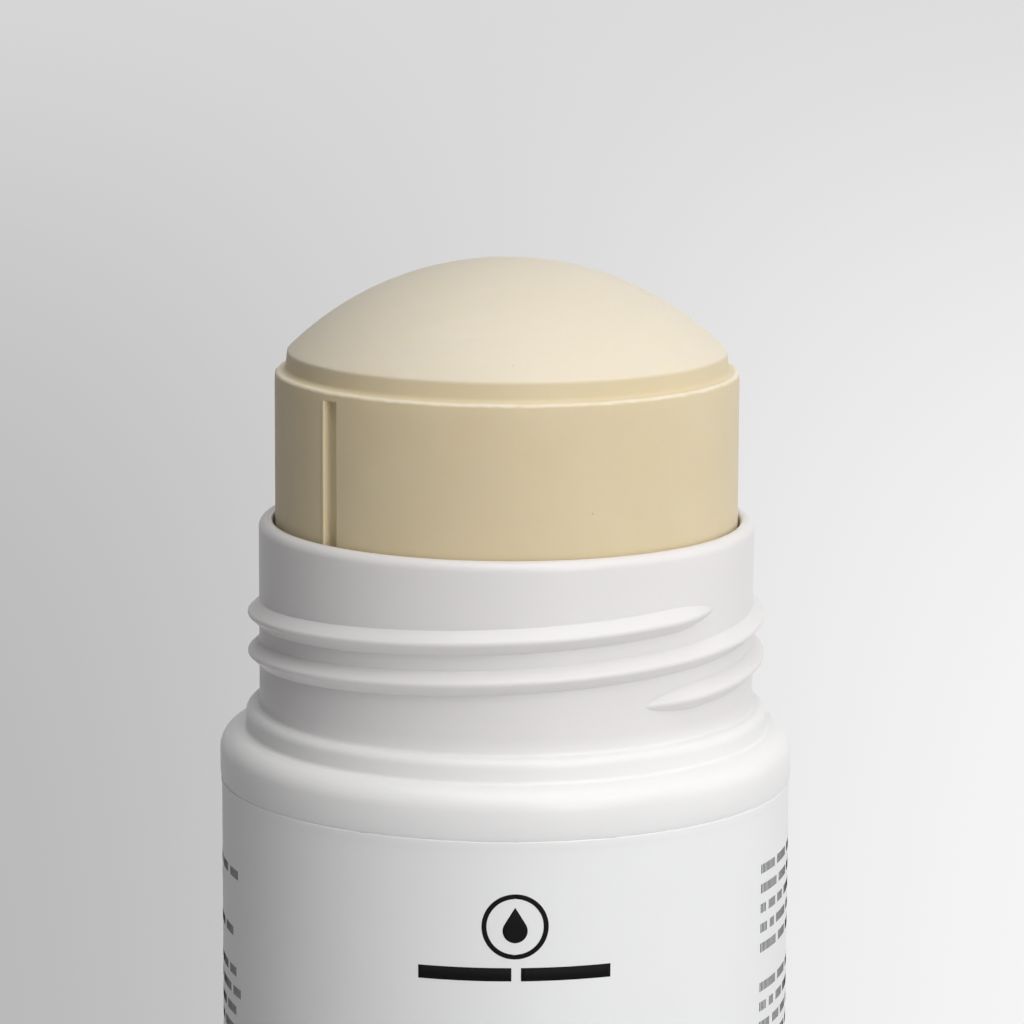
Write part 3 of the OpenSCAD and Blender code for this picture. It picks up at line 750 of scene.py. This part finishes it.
shader.inputs["Subsurface Scale"].default_value = 0.6 * MM
label_film.data.materials.append(printed_film)

ink = bmesh.new()
ink_t = 0.01 * MM
ink_r = film_r + 0.012 * MM


def print_shape(rows, across=0.4 * MM):
    """Printed shape on the film. Each row is (height, left end, right end), and the ends are
    lengths along the film from the front."""
    columns = max(1, math.ceil(max(right - left for z, left, right in rows) / across))
    grid = []
    for z, left, right in rows:
        line = []
        for i in range(columns + 1):
            turn = (left + (right - left) * i / columns) / film_r
            line.append(ink.verts.new((ink_r * math.sin(turn), -ink_r * math.cos(turn), z)))
        grid.append(line)
    for low, high in zip(grid, grid[1:]):
        for i in range(columns):
            ink.faces.new((low[i], low[i + 1], high[i + 1], high[i]))


# The emblem is a drop inside a ring: a circle that runs out to a point on top.
emblem_x = 0.9 * MM
emblem_z = label_high.z - 7.3 * MM
ring_outer = 2.8 * MM
ring_inner = 2.4 * MM
drop_r = 1.05 * MM
tip_h = 2.0 * MM
drop_z = emblem_z - 0.35 * MM
touch = math.acos(drop_r / tip_h)
drop_steps = 16
ring_steps = 48
hairline = 0.01 * MM
drop_rows = []
for i in range(drop_steps + 1):
    turn = -math.pi / 2 + (math.pi - touch) * i / drop_steps
    half = max(drop_r * math.cos(turn), hairline)
    drop_rows.append((drop_z + drop_r * math.sin(turn), emblem_x - half, emblem_x + half))
drop_rows.append((drop_z + tip_h, emblem_x - hairline, emblem_x + hairline))
print_shape(drop_rows)
for side in (-1, 1):
    ring_rows = []
    for i in range(ring_steps + 1):
        height = ring_outer * math.sin(math.radians(-90 + 180 * i / ring_steps))
        out = math.sqrt(max(0, ring_outer ** 2 - height ** 2))
        inside = math.sqrt(max(0, ring_inner ** 2 - height ** 2))
        ends = sorted((emblem_x + side * (inside - hairline), emblem_x + side * (out + hairline)))
        ring_rows.append((emblem_z + height, *ends))
    print_shape(ring_rows)

# Two bars lie under it.
bar_top = label_high.z - 10.85 * MM
bar_t = 1.15 * MM
for left, right in ((-8.2, -0.3), (0.5, 8.2)):
    ends = (emblem_x + left * MM, emblem_x + right * MM)
    print_shape([(bar_top - bar_t, *ends), (bar_top, *ends)])

# The small print at both sides is fields of even upright strokes, in rows and paragraphs.
dice = random.Random(5)
row_step = 1.76 * MM
row_t = 0.8 * MM
stroke_step = 0.3 * MM
stroke_w = 0.14 * MM
word_gap = 0.55 * MM
column_w = 24 * MM
right_column = (27.1 * MM, 5.4 * MM, (5, 7, 4))
left_column = (-27.9 * MM - column_w, 6.8 * MM, (2, 1, 6, 5))
for left_end, top, paragraphs in (right_column, left_column):
    row_z = label_high.z - top
    for paragraph in paragraphs:
        for row in range(paragraph):
            spot = left_end
            length = column_w * (dice.uniform(0.9, 1) if row < paragraph - 1 else dice.uniform(0.35, 0.9))
            while spot < left_end + length - 1.0 * MM:
                word = min(dice.uniform(1.2, 4.2) * MM, left_end + length - spot)
                for stroke in range(int(word / stroke_step)):
                    left = spot + stroke * stroke_step
                    print_shape([(row_z - row_t, left, left + stroke_w), (row_z, left, left + stroke_w)])
                spot += word + word_gap
            row_z -= row_step
        row_z -= row_step
label_print = solid("label_print", ink)

# Screen-printed ink lies on the film as a dull black skin, a shade thinner in places.
ink_cloud = 0.5 * MM
black_ink, tree, shader, place = material("screen_printed_black_ink")
density = add(tree, "ShaderNodeTexNoise", {"Vector": place, "Scale": 1 / ink_cloud, "Detail": 2.0})
tint = add(tree, "ShaderNodeMix", {
    0: density, 6: linear("#060606"), 7: linear("#0A0A0A")},
    data_type="RGBA")
tree.links.new(tint.outputs[2], shader.inputs["Base Color"])
shader.inputs["Roughness"].default_value = 0.7
shader.inputs["IOR"].default_value = 1.5
shader.inputs["Specular IOR Level"].default_value = 0.15
label_print.data.materials.append(black_ink)
thickness = label_print.modifiers.new("ink_thickness", "SOLIDIFY")
thickness.thickness = ink_t

for piece in (label_film, label_print):
    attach(piece, "barrel")
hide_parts("label")


# Studio
# The stick stands on a wide sheet of pale paper. Near the stick it is lit paper with the stick's shadow on
# it, and farther off, where lamps of this size can't reach, camera and gloss see a painted glow instead:
# painted shade greys it on the left and painted light whitens it on the right, as the light comes more
# from the right.

sheet = bmesh.new()
bmesh.ops.create_circle(sheet, cap_ends=True, segments=96, radius=4)
floor = solid("pale_sheet", sheet)

# Matte uncoated paper scatters light evenly and has no gloss.
tone_w = 0.5
paper, tree, shader, place = material("matte_background_paper")
tone = add(tree, "ShaderNodeTexNoise", {"Vector": place, "Scale": 1 / tone_w, "Detail": 1.0})
tint = add(tree, "ShaderNodeMix", {0: tone, 6: linear("#D7D7D8"), 7: linear("#DBDBDC")}, data_type="RGBA")
tree.links.new(tint.outputs[2], shader.inputs["Base Color"])
shader.inputs["Roughness"].default_value = 0.9
shader.inputs["Specular IOR Level"].default_value = 0.0
# The painted step from shade on the left to light on the right is as wide as the view from the camera's
# distance and dies away far behind the stick.
viewer = 0.386
view_slope = 0.114
step_steepness = 1.1
step_depth = 0.93
step_fade = 2.5
shadow_reach = 0.04
shadow_end = 0.15
spot = add(tree, "ShaderNodeSeparateXYZ", {0: place})
depth = add(tree, "ShaderNodeMath", {0: spot.outputs["Y"]}, operation="ABSOLUTE")
view_half = add(tree, "ShaderNodeMath", {
    0: depth, 1: view_slope, 2: viewer * view_slope},
    operation="MULTIPLY_ADD")
across = add(tree, "ShaderNodeMath", {0: spot.outputs["X"], 1: view_half}, operation="DIVIDE")
slope = add(tree, "ShaderNodeMath", {0: across, 1: step_steepness}, operation="MULTIPLY")
side = add(tree, "ShaderNodeMath", {0: slope}, operation="TANH")
far = add(tree, "ShaderNodeMath", {0: depth, 1: step_depth}, operation="DIVIDE")
faded = add(tree, "ShaderNodeMath", {0: far, 1: step_fade}, operation="POWER")
fall = add(tree, "ShaderNodeMath", {0: faded, 1: 1.0})
half_step = add(tree, "ShaderNodeMath", {0: 0.5, 1: fall}, operation="DIVIDE")
share = add(tree, "ShaderNodeMath", {0: side, 1: half_step, 2: 0.5}, operation="MULTIPLY_ADD")
# Painted shade on the left and painted light on the right, shown as a glow
painted_shade_to_light = add(tree, "ShaderNodeMix", {
    0: share, 6: linear("#B1B0B1"), 7: linear("#FCFBFC")},
    data_type="RGBA")
painted_backdrop_glow = add(tree, "ShaderNodeEmission", {"Color": painted_shade_to_light.outputs[2]})
distance = add(tree, "ShaderNodeVectorMath", {0: place}, operation="LENGTH").outputs["Value"]
past_shadow = add(tree, "ShaderNodeMapRange", {
    "Value": distance, "From Min": shadow_reach, "From Max": shadow_end, "To Min": 0.35},
    interpolation_type="SMOOTHSTEP")
ray = add(tree, "ShaderNodeLightPath")
looked_at = add(tree, "ShaderNodeMath", {
    0: ray.outputs["Is Camera Ray"], 1: ray.outputs["Is Glossy Ray"]},
    operation="MAXIMUM")
seen = add(tree, "ShaderNodeMath", {0: looked_at, 1: past_shadow}, operation="MULTIPLY")
sheet_look = add(tree, "ShaderNodeMixShader", {0: seen, 1: shader, 2: painted_backdrop_glow})
tree.links.new(sheet_look.outputs[0], tree.nodes["Material Output"].inputs["Surface"])
floor.data.materials.append(paper)


def softbox(name, centre, facing, width, height, radiance):
    """Evenly lit rectangle that shines towards facing. radiance is the brightness of its
    face, and its power follows from that and its size."""
    lamp = bpy.data.lights.new(name, "AREA")
    lamp.shape = "RECTANGLE"
    lamp.size = width
    lamp.size_y = height
    lamp.energy = radiance * math.pi * width * height
    lit = bpy.data.objects.new(name, lamp)
    lit.location = centre
    lit.rotation_euler = (-Vector(facing)).to_track_quat("Z", "Y").to_euler()
    lit.visible_camera = False
    bpy.context.scene.collection.objects.link(lit)


# Light comes from overhead and more strongly from the front right. Nothing lights the left.
softbox("overhead", (0, -0.1, 0.68), (0, 0, -1), 0.4, 0.4, 2.6)
softbox("overhead_front", (0, -0.48, 0.68), (0, 0, -1), 0.4, 0.36, 2.4)
softbox("overhead_right", (0.45, -0.48, 0.68), (0, 0, -1), 0.5, 0.36, 3.6)
softbox("overhead_far_right", (0.45, -0.87, 0.68), (0, 0, -1), 0.5, 0.42, 2.2)
softbox("overhead_back_right", (0.45, -0.1, 0.68), (0, 0, -1), 0.5, 0.4, 0.7)
softbox("front_right", (0.6, -1.1, 0.33), (0, 1, 0), 0.6, 0.64, 4.7)
softbox("right_near", (0.5, 0.01, 0.17), (-1, 0, 0), 0.22, 0.33, 1.0)
softbox("right_far", (0.5, 0.235, 0.33), (-1, 0, 0), 0.23, 0.65, 0.7)
softbox("back_right", (0.45, 0.9, 0.33), (0, -1, 0), 0.9, 0.64, 0.4)

# The room adds hardly any light. Its grey walls show only to the camera and in the gloss.
world = bpy.data.worlds.new("studio_room")
world.use_nodes = True
tree = world.node_tree
tree.nodes.clear()
room = add(tree, "ShaderNodeBackground", {"Color": linear("#FFFFFF"), "Strength": 0.01})
walls = add(tree, "ShaderNodeBackground", {"Color": linear("#C4C4C4"), "Strength": 1.0})
ray = add(tree, "ShaderNodeLightPath")
looked_at = add(tree, "ShaderNodeMath", {
    0: ray.outputs["Is Camera Ray"], 1: ray.outputs["Is Glossy Ray"]},
    operation="MAXIMUM")
surroundings = add(tree, "ShaderNodeMixShader", {0: looked_at, 1: room, 2: walls})
add(tree, "ShaderNodeOutputWorld", {"Surface": surroundings})
bpy.context.scene.world = world


# Camera
# A long lens a little above the dome's height, looking slightly down at bar and neck.

camera_place = (0.00048, -0.3861, 0.160)
camera_pitch = math.radians(10.383)
camera_roll = math.radians(0.26)
focal_length = 157.63
lens = bpy.data.cameras.new("camera")
lens.sensor_width = 36
lens.lens = focal_length
lens.clip_start = 0.01
lens.clip_end = 20
camera = bpy.data.objects.new("camera", lens)
camera.matrix_world = (Matrix.Translation(camera_place)
                       @ Matrix.Rotation(math.pi / 2 - camera_pitch, 4, "X")
                       @ Matrix.Rotation(camera_roll, 4, "Z"))
bpy.context.scene.collection.objects.link(camera)
bpy.context.scene.camera = camera
bpy.context.scene.view_settings.view_transform = "Standard"
